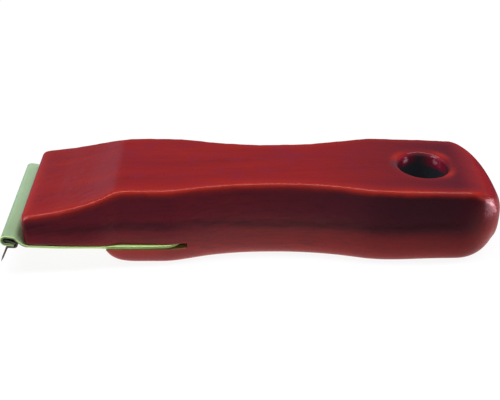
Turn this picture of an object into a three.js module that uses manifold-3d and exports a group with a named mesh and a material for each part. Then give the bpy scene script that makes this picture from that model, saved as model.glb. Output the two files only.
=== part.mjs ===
// Pull scraper for wood: a waisted hardwood handle, a bent spring-steel blade
// holder set in a saw cut under its front end, a hook blade that slides
// sideways in the holder's folded channel, and two screws from below.
//
// Frame: millimetres, +Z up, resting on the handle's flat underside (z = 0),
// X from the blade (-X) to the tail (+X), Y across the blade.
// Origin at the middle of the overall box, on the resting plane.

import * as THREE from 'three';
import { mergeVertices } from 'three/addons/utils/BufferGeometryUtils.js';
import Module from 'manifold-3d';

const wasm = await Module();
wasm.setup();

// ---------------------------------------------------------------------------
// Driving dimensions
// ---------------------------------------------------------------------------

// Handle: [x, half width in plan, height of the top face]
const STATIONS = [
  [-97, 29.27, 27.99], [-92, 29.18, 28.80], [-88, 29.05, 29.37], [-84, 28.90, 29.99],
  [-80, 28.69, 30.78], [-76, 28.34, 31.66], [-72, 27.88, 32.57], [-68, 27.26, 33.65],
  [-64, 26.33, 34.92], [-61, 25.30, 35.93], [-58, 24.32, 36.84], [-55, 24.03, 37.21],
  [-52, 24.00, 37.29], [-46, 24.00, 37.30], [-40, 24.02, 37.30], [-36, 23.73, 37.33],
  [-30, 22.69, 37.37], [-24, 21.38, 37.40], [-18, 20.20, 37.38], [-12, 19.26, 37.32],
  [-6, 18.59, 37.28], [0, 18.24, 37.27], [6, 18.13, 37.27], [12, 18.19, 37.28],
  [18, 18.50, 37.30], [24, 19.10, 37.30], [30, 20.01, 37.30], [36, 21.21, 37.30],
  [42, 22.63, 37.25], [48, 23.85, 37.20], [54, 24.27, 37.07], [60, 24.30, 36.90],
  [70, 24.18, 36.58], [80, 24.01, 36.27], [90, 23.76, 35.97], [107, 23.46, 35.60],
];
// Lower long edges: [x, how far the rounding reaches in from the side]
const LOWER_INSET = [[-62, 5.0], [-42, 5.0], [-18, 6.6], [20, 6.6], [42, 7.0], [58, 6.4], [78, 7.2], [107, 7.0]];
const LOWER_RISE = 16.8;          // height at which the side starts to turn in
const TOP_EDGE_R = 2.0;           // rounding of the long top edges

const FRONT_X = -96.9;            // front face of the handle
const FRONT_PLAN_R = 2.4;         // front corners, seen from above
const FRONT_TOP_R = 1.6;          // front top edge
const TAIL_X = 106.0;             // end of the tail
const TAIL_PLAN = [20.5, 1.86];   // tail corners, seen from above: size, exponent
const TAIL_TOP = [20.2, 18.0, 1.75, 15.0]; // reach, drop, exponent, edge radius at the end
const TAIL_BOTTOM = [18.3, 5.2, 6.4]; // reach, rise, growth of the lower rounding

const HOLE_X = 71.3;              // hanging hole
const HOLE_R = 10.8;
const HOLE_RIM_R = 2.0;

// Blade holder: one strip of sheet steel
const SHEET_T = 1.1;
// Middle of the tongue: [x, z]; level in the saw cut, then it rises towards the blade
const TONGUE = [
  [-104, 14.60], [-94, 13.99], [-85, 13.42], [-76, 12.80], [-70, 12.25], [-64, 11.45],
  [-60, 11.00], [-57, 10.75], [-50, 10.50], [-40, 10.36], [-24, 10.18],
];
// Holder seen from above: [x, half width], up to its rounded rear corners
const HOLDER_PLAN = [
  [-110, 31], [-99.4, 31], [-98.1, 30.3], [-96.8, 29.5], [-95, 29.1], [-85, 28.88], [-76, 28.07], [-68, 26.95],
  [-64, 26.25], [-60, 25.61], [-57, 25.27], [-53, 25.05], [-49, 24.82], [-45, 24.60],
];
const TONGUE_END_X = -31;
const TONGUE_CORNER_R = 9;
const CHANNEL_HALF_W = 31;        // half the holder's width at the channel
const FOLD_X = -103.33;           // centre of the folded front edge
const FOLD_Z = 18.03;
const FOLD_R = 1.88;              // middle of the sheet
const LIP_END = [-100.23, 15.9];  // free end of the channel's lower lip
const CHANNEL_TOP_END = [-99.7, 19.35];
const CHANNEL_TOP_R = 1.8;        // bend at the back of the channel
const TONGUE_FOOT_X = -96.55;     // bend at the foot of the step
const TONGUE_FOOT_R = 3.5;

// Saw cut in the handle
const SEAT_GAP = 0.3;             // between the tongue and the wood above it
const KERF_END_X = -29.8;
const LIP_TOP = [[-66, 8.80], [-61, 8.75], [-57, 8.70], [-40, 8.62], [-24, 8.60]]; // upper face of the lip: [x, z]
const LIP_HALF_W = 24.12;         // the lip doesn't flare with the front of the handle
const NOSE_X = -64.0;             // tip of the lip
const NOSE_R = 13;                // length of the rounded nose
const NOSE_POWER = 2.4;           // 2 would be a plain ellipse
const SEAT_FRONT_X = -95.2;       // the seat turns up here, clear of the step

// Hook blade
const BLADE_T = 0.75;
const BLADE_HALF_W = 30.7;
const BLADE_GAP = 0.25;           // to the channel's lip
const BLADE_INNER_END = [-103.73, 18.35];
const BLADE_CORNER = [-103.12, 14.85];
const BLADE_TIP = [-106.55, 7.6];
const BLADE_GRIND = 2.6;          // length of the ground edge

// Fixing screws, driven upwards through the lip and the tongue
const SCREW_X = -46;
const SCREW_Y = 12;
const SCREW_R = 2.0;
const SCREW_HEAD_R = 4.0;
const SCREW_HEAD_H = 2.5;
const SCREW_LENGTH = 25;
const SCREW_RECESS = 0.5;         // head below the underside
const SCREW_GAP = 0.3;

const SHIFT_X = 0.293;            // brings the middle of the overall box to x = 0

// ---------------------------------------------------------------------------
// Helpers
// ---------------------------------------------------------------------------

// Smooth curve through a table of [x, y] points without overshoot.
function smooth(points) {
  const n = points.length;
  const h = [], d = [], m = new Array(n);
  for (let i = 0; i < n - 1; i++) {
    h.push(points[i + 1][0] - points[i][0]);
    d.push((points[i + 1][1] - points[i][1]) / h[i]);
  }
  m[0] = d[0];
  m[n - 1] = d[n - 2];
  for (let i = 1; i < n - 1; i++) {
    if (d[i - 1] * d[i] <= 0) m[i] = 0;
    else {
      const w1 = 2 * h[i] + h[i - 1], w2 = h[i] + 2 * h[i - 1];
      m[i] = (w1 + w2) / (w1 / d[i - 1] + w2 / d[i]);
    }
  }
  return (x) => {
    let i = 0;
    while (i < n - 2 && x > points[i + 1][0]) i++;
    const t = (x - points[i][0]) / h[i], t2 = t * t, t3 = t2 * t;
    return (2 * t3 - 3 * t2 + 1) * points[i][1] + (t3 - 2 * t2 + t) * h[i] * m[i]
      + (3 * t2 - 2 * t3) * points[i + 1][1] + (t3 - t2) * h[i] * m[i + 1];
  };
}

function toSolid(geometry) {
  const bare = geometry.clone();
  bare.deleteAttribute('normal');
  bare.deleteAttribute('uv');
  const merged = mergeVertices(bare, 1e-4);
  const index = merged.index.array, tris = [];
  for (let i = 0; i < index.length; i += 3) {
    const a = index[i], b = index[i + 1], c = index[i + 2];
    if (a !== b && b !== c && c !== a) tris.push(a, b, c);
  }
  return new wasm.Manifold(new wasm.Mesh({
    numProp: 3,
    vertProperties: new Float32Array(merged.attributes.position.array),
    triVerts: new Uint32Array(tris),
  }));
}

function toGeometry(solid) {
  const mesh = solid.getMesh();
  const geometry = new THREE.BufferGeometry();
  geometry.setAttribute('position', new THREE.BufferAttribute(new Float32Array(mesh.vertProperties), 3));
  geometry.setIndex(new THREE.BufferAttribute(new Uint32Array(mesh.triVerts), 1));
  geometry.computeVertexNormals();
  return geometry;
}

// Prism with its outline in the XZ plane, running across Y.
function prismAcross(outline, y0, y1) {
  const shape = new THREE.Shape(outline.map(([x, z]) => new THREE.Vector2(x, z)));
  const geometry = new THREE.ExtrudeGeometry(shape, { depth: y1 - y0, bevelEnabled: false, steps: 1 });
  geometry.rotateX(Math.PI / 2);
  geometry.translate(0, y1, 0);
  return geometry;
}

// Prism with its outline in the XY plane, running up Z.
function prismUp(outline, z0, z1) {
  const shape = new THREE.Shape(outline.map(([x, y]) => new THREE.Vector2(x, y)));
  const geometry = new THREE.ExtrudeGeometry(shape, { depth: z1 - z0, bevelEnabled: false, steps: 1 });
  geometry.translate(0, 0, z0);
  return geometry;
}

// Solid of revolution about a vertical axis from a profile of [radius, z].
function turned(profile, x, y, segments) {
  const geometry = new THREE.LatheGeometry(profile.map(([r, z]) => new THREE.Vector2(r, z)), segments);
  geometry.rotateX(Math.PI / 2);
  geometry.translate(x, y, 0);
  return geometry;
}

// Round the corners of an open path; each inner corner is [x, z, radius].
function filleted(corners, degreesPerStep) {
  const path = [corners[0].slice(0, 2)];
  for (let i = 1; i < corners.length - 1; i++) {
    const p = new THREE.Vector2(...corners[i].slice(0, 2));
    const a = new THREE.Vector2(...corners[i - 1].slice(0, 2)).sub(p).normalize();
    const b = new THREE.Vector2(...corners[i + 1].slice(0, 2)).sub(p).normalize();
    const r = corners[i][2];
    const half = Math.acos(THREE.MathUtils.clamp(a.dot(b), -1, 1)) / 2;
    const cut = r / Math.tan(half);
    const centre = a.clone().add(b).normalize().multiplyScalar(r / Math.sin(half)).add(p);
    const start = a.clone().multiplyScalar(cut).add(p).sub(centre);
    const end = b.clone().multiplyScalar(cut).add(p).sub(centre);
    const sweep = Math.atan2(start.cross(end), start.dot(end));
    const steps = Math.max(2, Math.ceil(Math.abs(sweep) * 180 / Math.PI / degreesPerStep));
    for (let k = 0; k <= steps; k++) {
      const q = start.clone().rotateAround(new THREE.Vector2(), sweep * k / steps).add(centre);
      path.push([q.x, q.y]);
    }
  }
  path.push(corners[corners.length - 1].slice(0, 2));
  return path;
}

// Outline of a strip of sheet that follows a path, with a half thickness that
// may change along it.
function strip(path, halfThickness) {
  const left = [], right = [];
  let run = 0;
  for (let i = 0; i < path.length; i++) {
    const before = path[Math.max(i - 1, 0)], after = path[Math.min(i + 1, path.length - 1)];
    const p = path[i];
    if (i > 0) run += Math.hypot(p[0] - before[0], p[1] - before[1]);
    const d1 = new THREE.Vector2(p[0] - before[0], p[1] - before[1]).normalize();
    const d2 = new THREE.Vector2(after[0] - p[0], after[1] - p[1]).normalize();
    const d = (i === 0 ? d2 : i === path.length - 1 ? d1 : d1.clone().add(d2).normalize());
    const mitre = i === 0 || i === path.length - 1 ? 1 : 1 / Math.max(0.5, d.dot(d1));
    const t = halfThickness(i, run) * mitre;
    left.push([p[0] - d.y * t, p[1] + d.x * t]);
    right.push([p[0] + d.y * t, p[1] - d.x * t]);
  }
  return left.concat(right.reverse());
}

// ---------------------------------------------------------------------------
// Handle
// ---------------------------------------------------------------------------

const halfWidthAt = smooth(STATIONS.map(([x, w]) => [x, w]));
const topAt = smooth(STATIONS.map(([x, , z]) => [x, z]));
const lowerInsetAt = smooth(LOWER_INSET);
const SEAT_XS = [-90, -85, -80, -76, -73, -70, -67, -64, -62, -60, -58, -55, -50, -45, -40, -35];
const tongueAt = smooth(TONGUE);
const lipTopAt = smooth(LIP_TOP);

// Half of the handle's section at x, from the top middle to the bottom middle.
function halfSection(x) {
  let w = halfWidthAt(x), top = topAt(x), bottom = 0, r = TOP_EDGE_R;
  let u = FRONT_X + FRONT_PLAN_R - x;
  if (u > 0) w += Math.sqrt(Math.max(FRONT_PLAN_R ** 2 - u * u, 0)) - FRONT_PLAN_R;
  u = FRONT_X + FRONT_TOP_R - x;
  if (u > 0) top += Math.sqrt(Math.max(FRONT_TOP_R ** 2 - u * u, 0)) - FRONT_TOP_R;
  let a = lowerInsetAt(x);
  const [planR, planPower] = TAIL_PLAN;
  u = x - (TAIL_X - planR);
  if (u > 0) w -= planR * (1 - Math.max(1 - (u / planR) ** planPower, 0) ** (1 / planPower));
  const [reach, drop, power, endR] = TAIL_TOP;
  u = x - (TAIL_X - reach);
  if (u > 0) {
    const s = Math.max(1 - (u / reach) ** power, 0) ** (1 / power);
    top -= drop * (1 - s);
    r += (endR - r) * (1 - s);
  }
  u = x - (TAIL_X - TAIL_BOTTOM[0]);
  if (u > 0) {
    const s = Math.sqrt(Math.max(1 - (u / TAIL_BOTTOM[0]) ** 2, 0));
    bottom = TAIL_BOTTOM[1] * (1 - s);
    a += TAIL_BOTTOM[2] * (1 - s);
  }
  a = Math.min(a, w * 0.85);
  r = Math.min(r, w * 0.85, (top - bottom) * 0.45);
  const b = Math.min(LOWER_RISE, (top - bottom - r) * 0.96);
  const points = [[0, top], [(w - r) * 0.5, top]];
  for (let k = 0; k <= 3; k++) {
    const t = k * Math.PI / 6;
    points.push([w - r + r * Math.sin(t), top - r + r * Math.cos(t)]);
  }
  for (let k = 0; k <= 6; k++) {
    const t = k * Math.PI / 12;
    points.push([w - a + a * Math.cos(t), bottom + b - b * Math.sin(t)]);
  }
  points.push([0, bottom]);
  return points;
}

function handleBlank() {
  const xs = [0, 0.2, 0.6, 1.3, 2.4].map((d) => FRONT_X + d);
  for (const [x] of STATIONS) if (x > FRONT_X + 4 && x < 84) xs.push(x);
  for (let k = 0; k <= 9; k++) xs.push(TAIL_X - 22 + 22 * Math.sin(k * Math.PI / 18));
  const loops = xs.map((x) => {
    const half = halfSection(x);
    const back = half.slice(1, -1).reverse();
    return half.map(([y, z]) => [x, y, z]).concat(back.map(([y, z]) => [x, -y, z]));
  });
  const count = loops[0].length, position = [], index = [];
  for (const loop of loops) for (const p of loop) position.push(...p);
  for (let i = 0; i < loops.length - 1; i++) {
    for (let j = 0; j < count; j++) {
      const a = i * count + j, b = i * count + (j + 1) % count;
      const c = a + count, d = b + count;
      index.push(a, c, b, b, c, d);
    }
  }
  // flat ends, as rows joining each point to its mirror image
  const half = halfSection(0).length;
  for (const [base, flip] of [[0, false], [(loops.length - 1) * count, true]]) {
    const right = (k) => base + k;
    const left = (k) => base + (k === 0 || k === half - 1 ? k : count - k);
    for (let k = 0; k < half - 1; k++) {
      const quad = [right(k), right(k + 1), left(k + 1), left(k)];
      for (const t of [[0, 1, 2], [0, 2, 3]]) {
        const tri = t.map((q) => quad[q]);
        if (new Set(tri).size < 3) continue;
        if (flip) tri.reverse();
        index.push(...tri);
      }
    }
  }
  const geometry = new THREE.BufferGeometry();
  geometry.setAttribute('position', new THREE.Float32BufferAttribute(position, 3));
  geometry.setIndex(index);
  return geometry;
}

// Everything taken away below the tongue: the seat under the front end, the
// saw cut, and the space in front of the rounded nose of the lip.
function sawCut() {
  const seat = (x) => tongueAt(x) + SHEET_T / 2 + SEAT_GAP;
  const tip = lipTopAt(NOSE_X) - 0.35;
  const outline = [[-102, seat(SEAT_FRONT_X) + SEAT_FRONT_X + 102]];
  for (const x of [SEAT_FRONT_X, ...SEAT_XS, KERF_END_X]) outline.push([x, seat(x)]);
  for (const x of [KERF_END_X, -57, NOSE_X + 0.35]) outline.push([x, lipTopAt(x)]);
  for (let k = 1; k <= 8; k++) {
    const t = k * Math.PI / 16, p = 2 / NOSE_POWER;
    outline.push([NOSE_X + NOSE_R * (1 - Math.cos(t) ** p), tip - (tip + 0.05) * Math.sin(t) ** p]);
  }
  outline.push([NOSE_X + NOSE_R, -4], [-102, -4]);
  return prismAcross(outline, -40, 40);
}

// Sides of the lip in front, where the handle above it flares.
function lipTrim(y0, y1) {
  const seat = (x) => tongueAt(x) + SHEET_T / 2 + SEAT_GAP;
  const outline = [[-72, -4]];
  for (const x of SEAT_XS) if (x > -71 && x < -54) outline.push([x, seat(x)]);
  outline.unshift([outline[outline.length - 1][0], -4]);
  outline[1] = [outline[2][0], -4];
  return prismAcross(outline, y0, y1);
}

function hangingHole() {
  const top = topAt(HOLE_X), steps = 5, profile = [[0, -5], [HOLE_R + HOLE_RIM_R, -5]];
  for (let k = 0; k <= steps; k++) {
    const t = k * Math.PI / 2 / steps;
    profile.push([HOLE_R + HOLE_RIM_R * (1 - Math.sin(t)), HOLE_RIM_R * (1 - Math.cos(t))]);
  }
  for (let k = steps; k >= 0; k--) {
    const t = k * Math.PI / 2 / steps;
    profile.push([HOLE_R + HOLE_RIM_R * (1 - Math.sin(t)), top - HOLE_RIM_R * (1 - Math.cos(t))]);
  }
  profile.push([HOLE_R + HOLE_RIM_R, top + 5], [0, top + 5]);
  // the upper rim follows the slope of the top face
  const geometry = turned(profile, HOLE_X, 0, 40), p = geometry.attributes.position;
  for (let i = 0; i < p.count; i++) {
    if (p.getZ(i) > 20) p.setZ(i, p.getZ(i) + topAt(p.getX(i)) - top);
  }
  return geometry;
}

// Clearance for one screw, grown all round by the gap.
function screwHole(y) {
  const g = SCREW_GAP, z = SCREW_RECESS;
  return turned([
    [0, -3], [SCREW_HEAD_R + g, -3], [SCREW_HEAD_R + g, z + 0.35],
    [SCREW_R + g, z + SCREW_HEAD_H + g], [SCREW_R + g, z + SCREW_LENGTH - 4],
    [0, z + SCREW_LENGTH + 0.6],
  ], SCREW_X, y, 20);
}

const handleSolid = toSolid(handleBlank())
  .subtract(toSolid(sawCut()))
  .subtract(toSolid(lipTrim(LIP_HALF_W, 40)))
  .subtract(toSolid(lipTrim(-40, -LIP_HALF_W)))
  .subtract(toSolid(hangingHole()))
  .subtract(toSolid(screwHole(SCREW_Y)))
  .subtract(toSolid(screwHole(-SCREW_Y)));

// ---------------------------------------------------------------------------
// Blade holder
// ---------------------------------------------------------------------------

function holderPath() {
  const path = [LIP_END, [FOLD_X, FOLD_Z - FOLD_R]];
  for (let k = 1; k <= 10; k++) {
    const t = -Math.PI / 2 - k * Math.PI / 10;
    path.push([FOLD_X + FOLD_R * Math.cos(t), FOLD_Z + FOLD_R * Math.sin(t)]);
  }
  const foot = TONGUE_FOOT_X;
  const bends = filleted([
    path[path.length - 1], [...CHANNEL_TOP_END, CHANNEL_TOP_R], [foot, tongueAt(foot), TONGUE_FOOT_R],
    [-88, tongueAt(-88)],
  ], 12);
  const tongue = [-85, -80, -76, -73, -70, -67, -64, -62, -60, -58, -55, -50, -45, -40, TONGUE_END_X].map((x) => [x, tongueAt(x)]);
  return path.concat(bends.slice(1), tongue);
}

// Outline of the holder seen from above: full width at the channel, then close
// to the sides of the handle, a little proud of them behind the flare, with
// rounded rear corners.
function holderPlan() {
  const side = HOLDER_PLAN.slice(), y = 24.3;
  for (let k = 0; k <= 5; k++) {
    const t = k * Math.PI / 10;
    side.push([TONGUE_END_X - TONGUE_CORNER_R * (1 - Math.sin(t)), y - TONGUE_CORNER_R * (1 - Math.cos(t))]);
  }
  return side.concat(side.map(([x, v]) => [x, -v]).reverse());
}

const holderSolid = toSolid(prismAcross(strip(holderPath(), () => SHEET_T / 2), -CHANNEL_HALF_W, CHANNEL_HALF_W))
  .intersect(toSolid(prismUp(holderPlan(), 0, 40)))
  .subtract(toSolid(screwHole(SCREW_Y)))
  .subtract(toSolid(screwHole(-SCREW_Y)));

// ---------------------------------------------------------------------------
// Hook blade
// ---------------------------------------------------------------------------

function bladeOutline() {
  const r = SHEET_T / 2 + BLADE_GAP + BLADE_T / 2;
  const path = [BLADE_INNER_END];
  for (let k = 0; k <= 8; k++) {
    const t = Math.PI / 2 - k * Math.PI / 8;
    path.push([LIP_END[0] + r * Math.cos(t), LIP_END[1] + r * Math.sin(t)]);
  }
  const along = new THREE.Vector2(BLADE_TIP[0] - BLADE_CORNER[0], BLADE_TIP[1] - BLADE_CORNER[1]);
  const length = along.length();
  along.normalize();
  const grind = [BLADE_TIP[0] - along.x * BLADE_GRIND, BLADE_TIP[1] - along.y * BLADE_GRIND];
  const bend = filleted([path[path.length - 1], [...BLADE_CORNER, 0.9], grind], 15);
  const whole = path.concat(bend.slice(1), [BLADE_TIP]);
  return strip(whole, (i) => (i === whole.length - 1 ? 0.04 : BLADE_T / 2));
}

// ---------------------------------------------------------------------------
// Fixing screws
// ---------------------------------------------------------------------------

function screw(y) {
  const z = SCREW_RECESS;
  const body = toSolid(turned([
    [0, z], [SCREW_HEAD_R - 0.1, z], [SCREW_HEAD_R, z + 0.3], [SCREW_R, z + SCREW_HEAD_H],
    [SCREW_R, z + SCREW_LENGTH - 4.5], [0.25, z + SCREW_LENGTH], [0, z + SCREW_LENGTH],
  ], SCREW_X, y, 20));
  const slot = (lx, ly) => {
    const box = new THREE.BoxGeometry(lx, ly, 2.4);
    box.translate(SCREW_X, y, z);
    return toSolid(box);
  };
  return toGeometry(body.subtract(slot(4.6, 0.9)).subtract(slot(0.9, 4.6)));
}

// ---------------------------------------------------------------------------
// Assembly
// ---------------------------------------------------------------------------

const lacqueredWood = new THREE.MeshStandardMaterial({ color: 0x8a2a2d, roughness: 0.32, metalness: 0.0 });
const platedSteel = new THREE.MeshStandardMaterial({ color: 0xa9bf9f, roughness: 0.35, metalness: 0.9 });
const bladeSteel = new THREE.MeshStandardMaterial({ color: 0x5c5f5a, roughness: 0.3, metalness: 1.0 });
const screwSteel = new THREE.MeshStandardMaterial({ color: 0x9a9a94, roughness: 0.4, metalness: 1.0 });

function piece(name, geometry, material) {
  geometry.translate(SHIFT_X, 0, 0);
  const mesh = new THREE.Mesh(geometry, material.clone());
  mesh.name = name;
  return mesh;
}

const scraper = new THREE.Group();
scraper.name = 'wood_scraper';

const fixed = new THREE.Group();
fixed.add(
  piece('handle', toGeometry(handleSolid), lacqueredWood),
  piece('blade_holder', toGeometry(holderSolid), platedSteel),
  piece('fixing_screw_left', screw(-SCREW_Y), screwSteel),
  piece('fixing_screw_right', screw(SCREW_Y), screwSteel),
);

const sliding = new THREE.Group();
sliding.add(piece('hook_blade', prismAcross(bladeOutline(), -BLADE_HALF_W, BLADE_HALF_W), bladeSteel));

scraper.add(fixed, sliding);

export default scraper;
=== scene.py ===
import math

import bmesh
import bpy
import numpy as np
from mathutils import Matrix, Vector


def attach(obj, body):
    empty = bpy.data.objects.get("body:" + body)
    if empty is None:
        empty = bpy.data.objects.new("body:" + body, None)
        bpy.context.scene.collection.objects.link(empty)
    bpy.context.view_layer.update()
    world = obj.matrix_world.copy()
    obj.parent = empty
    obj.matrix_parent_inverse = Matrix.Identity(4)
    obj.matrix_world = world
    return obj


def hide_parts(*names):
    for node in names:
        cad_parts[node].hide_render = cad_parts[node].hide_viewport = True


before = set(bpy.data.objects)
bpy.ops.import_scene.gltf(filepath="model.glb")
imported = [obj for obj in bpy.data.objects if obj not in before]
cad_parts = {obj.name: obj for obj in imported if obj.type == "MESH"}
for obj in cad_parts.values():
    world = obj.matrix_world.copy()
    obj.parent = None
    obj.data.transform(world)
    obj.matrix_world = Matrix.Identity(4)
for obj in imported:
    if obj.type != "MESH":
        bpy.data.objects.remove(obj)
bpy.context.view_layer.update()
MM = 0.001

# ---------------------------------------------------------------------------
# Dimensions, in millimetres, the same as the construction's
# ---------------------------------------------------------------------------
# Handle: x, half width in plan, height of the top face
STATIONS = [
    (-97, 29.27, 27.99), (-92, 29.18, 28.80), (-88, 29.05, 29.37), (-84, 28.90, 29.99),
    (-80, 28.69, 30.78), (-76, 28.34, 31.66), (-72, 27.88, 32.57), (-68, 27.26, 33.65),
    (-64, 26.33, 34.92), (-61, 25.30, 35.93), (-58, 24.32, 36.84), (-55, 24.03, 37.21),
    (-52, 24.00, 37.29), (-46, 24.00, 37.30), (-40, 24.02, 37.30), (-36, 23.73, 37.33),
    (-30, 22.69, 37.37), (-24, 21.38, 37.40), (-18, 20.20, 37.38), (-12, 19.26, 37.32),
    (-6, 18.59, 37.28), (0, 18.24, 37.27), (6, 18.13, 37.27), (12, 18.19, 37.28),
    (18, 18.50, 37.30), (24, 19.10, 37.30), (30, 20.01, 37.30), (36, 21.21, 37.30),
    (42, 22.63, 37.25), (48, 23.85, 37.20), (54, 24.27, 37.07), (60, 24.30, 36.90),
    (70, 24.18, 36.58), (80, 24.01, 36.27), (90, 23.76, 35.97), (107, 23.46, 35.60),
]
LOWER_INSET = [(-62, 5.0), (-42, 5.0), (-18, 6.6), (20, 6.6), (42, 7.0), (58, 6.4), (78, 7.2), (107, 7.0)]
LOWER_RISE = 16.8
TOP_EDGE_R = 2.0
FRONT_X, FRONT_PLAN_R, FRONT_TOP_R = -96.9, 2.4, 1.6
TAIL_X = 106.0
TAIL_PLAN = (20.5, 1.86)
TAIL_TOP = (20.2, 18.0, 1.75, 15.0)
TAIL_BOTTOM = (18.3, 5.2, 6.4)
HOLE_X, HOLE_R, HOLE_RIM_R = 71.3, 10.8, 2.0
SHEET_T = 1.1
# middle of the tongue: x, z
TONGUE = [(-104, 14.60), (-94, 13.99), (-85, 13.42), (-76, 12.80), (-70, 12.25), (-64, 11.45), (-60, 11.00), (-57, 10.75),
          (-50, 10.50), (-40, 10.36), (-24, 10.18)]
# holder seen from above: x, half width
HOLDER_PLAN = [(-110, 31), (-99.4, 31), (-98.1, 30.3), (-96.8, 29.5), (-95, 29.1), (-85, 28.88), (-76, 28.07), (-68, 26.95),
               (-64, 26.25), (-60, 25.61), (-57, 25.27), (-53, 25.05), (-49, 24.82), (-45, 24.60), (-40, 24.3)]
TONGUE_END_X, TONGUE_CORNER_R = -31.0, 9.0
FOLD_X, FOLD_Z, FOLD_R = -103.33, 18.03, 1.88
LIP_END = (-100.23, 15.9)
CHANNEL_TOP_END, CHANNEL_TOP_R = (-99.7, 19.35), 1.8
TONGUE_FOOT_X, TONGUE_FOOT_R = -96.55, 3.5
SEAT_GAP, KERF_END_X = 0.3, -29.8
LIP_TOP = [(-66, 8.80), (-61, 8.75), (-57, 8.70), (-40, 8.62), (-24, 8.60)]
LIP_HALF_W = 24.12
NOSE_X, NOSE_R, NOSE_POWER = -64.0, 13.0, 2.4
SEAT_FRONT_X, SEAT_FRONT_R = -94.7, 2.2
BLADE_T, BLADE_HALF_W, BLADE_GAP = 0.75, 30.7, 0.25
BLADE_INNER_END, BLADE_CORNER, BLADE_TIP = (-103.73, 18.35), (-103.12, 14.85), (-106.55, 7.6)
BLADE_GRIND = 2.6
SCREW_X, SCREW_Y, SCREW_R = -46.0, 12.0, 2.0
SCREW_HEAD_R, SCREW_HEAD_H, SCREW_LENGTH, SCREW_RECESS, SCREW_GAP = 4.0, 2.5, 25.0, 0.5, 0.3
SHIFT_X = 0.293


def smooth(points):
    """Curve through a table without overshoot."""
    px = np.array([p[0] for p in points], float)
    py = np.array([p[1] for p in points], float)
    h, d = np.diff(px), np.diff(py) / np.diff(px)
    m = np.zeros(len(px))
    m[0], m[-1] = d[0], d[-1]
    for i in range(1, len(px) - 1):
        if d[i - 1] * d[i] > 0:
            w1, w2 = 2 * h[i] + h[i - 1], h[i] + 2 * h[i - 1]
            m[i] = (w1 + w2) / (w1 / d[i - 1] + w2 / d[i])

    def at(x):
        i = int(np.clip(np.searchsorted(px, x) - 1, 0, len(px) - 2))
        t = (x - px[i]) / h[i]
        t2, t3 = t * t, t * t * t
        return float((2 * t3 - 3 * t2 + 1) * py[i] + (t3 - 2 * t2 + t) * h[i] * m[i]
                     + (3 * t2 - 2 * t3) * py[i + 1] + (t3 - t2) * h[i] * m[i + 1])
    return at


half_width_at = smooth([(x, w) for x, w, _ in STATIONS])
top_at = smooth([(x, z) for x, _, z in STATIONS])
lower_inset_at = smooth(LOWER_INSET)


tongue_at = smooth(TONGUE)
lip_top_at = smooth(LIP_TOP)


def seat_at(x):
    u = SEAT_FRONT_X - x
    rise = SEAT_FRONT_R - math.sqrt(max(SEAT_FRONT_R ** 2 - u * u, 0)) if u > 0 else 0.0
    return tongue_at(x) + SHEET_T / 2 + SEAT_GAP + rise


def section(x, limit=None):
    """w, top, bottom, top edge radius, lower rounding (a across, b up); limit is the most that w may be."""
    w, top, bottom = half_width_at(x), top_at(x), 0.0
    if limit is not None:
        w = (w + limit - math.hypot(w - limit, 0.2)) / 2
    # the long edges were rounded by hand, so their radius wanders a little
    r = TOP_EDGE_R + 0.16 * math.sin(0.31 * x + 1.0) + 0.10 * math.sin(0.83 * x + 0.4) + 0.06 * math.sin(1.37 * x)
    a = lower_inset_at(x)
    u = FRONT_X + FRONT_PLAN_R - x
    if u > 0:
        w += math.sqrt(max(FRONT_PLAN_R ** 2 - u * u, 0)) - FRONT_PLAN_R
    u = FRONT_X + FRONT_TOP_R - x
    if u > 0:
        top += math.sqrt(max(FRONT_TOP_R ** 2 - u * u, 0)) - FRONT_TOP_R
    size, power = TAIL_PLAN
    u = x - (TAIL_X - size)
    if u > 0:
        w -= size * (1 - max(1 - (u / size) ** power, 0) ** (1 / power))
    reach, drop, power, end_r = TAIL_TOP
    u = x - (TAIL_X - reach)
    if u > 0:
        s = max(1 - (u / reach) ** power, 0) ** (1 / power)
        top -= drop * (1 - s)
        r += (end_r - r) * (1 - s)
    u = x - (TAIL_X - TAIL_BOTTOM[0])
    if u > 0:
        s = math.sqrt(max(1 - (u / TAIL_BOTTOM[0]) ** 2, 0))
        bottom = TAIL_BOTTOM[1] * (1 - s)
        a += TAIL_BOTTOM[2] * (1 - s)
    a = min(a, w * 0.85)
    r = min(r, w * 0.85, (top - bottom) * 0.45)
    b = min(LOWER_RISE, (top - bottom - r) * 0.96)
    return w, top, bottom, r, a, b


class Side:
    """The side of the handle at x, from the end of the top rounding down to the start of the flat bottom."""

    def __init__(self, x, limit=None):
        w, top, bottom, r, a, b = section(x, limit)
        t = np.linspace(0, math.pi / 2, 160)
        z = np.concatenate([[top - r], bottom + b - b * np.sin(t)])
        y = np.concatenate([[w], w - a + a * np.cos(t)])
        keep = np.concatenate([[True], np.hypot(np.diff(y), np.diff(z)) > 1e-9])
        self.y, self.z = y[keep], z[keep]
        self.run = np.concatenate([[0], np.cumsum(np.hypot(np.diff(self.y), np.diff(self.z)))])
        self.run /= self.run[-1]

    def at(self, f):
        return np.interp(f, self.run, self.y), np.interp(f, self.run, self.z)

    def share(self, z):
        return float(np.interp(-z, -self.z, self.run))


def glow(distance, width):
    return math.exp(-(max(distance, 0.0) / width) ** 2)


def step(t):
    t = min(max(t, 0.0), 1.0)
    return t * t * (3 - 2 * t)


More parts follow.
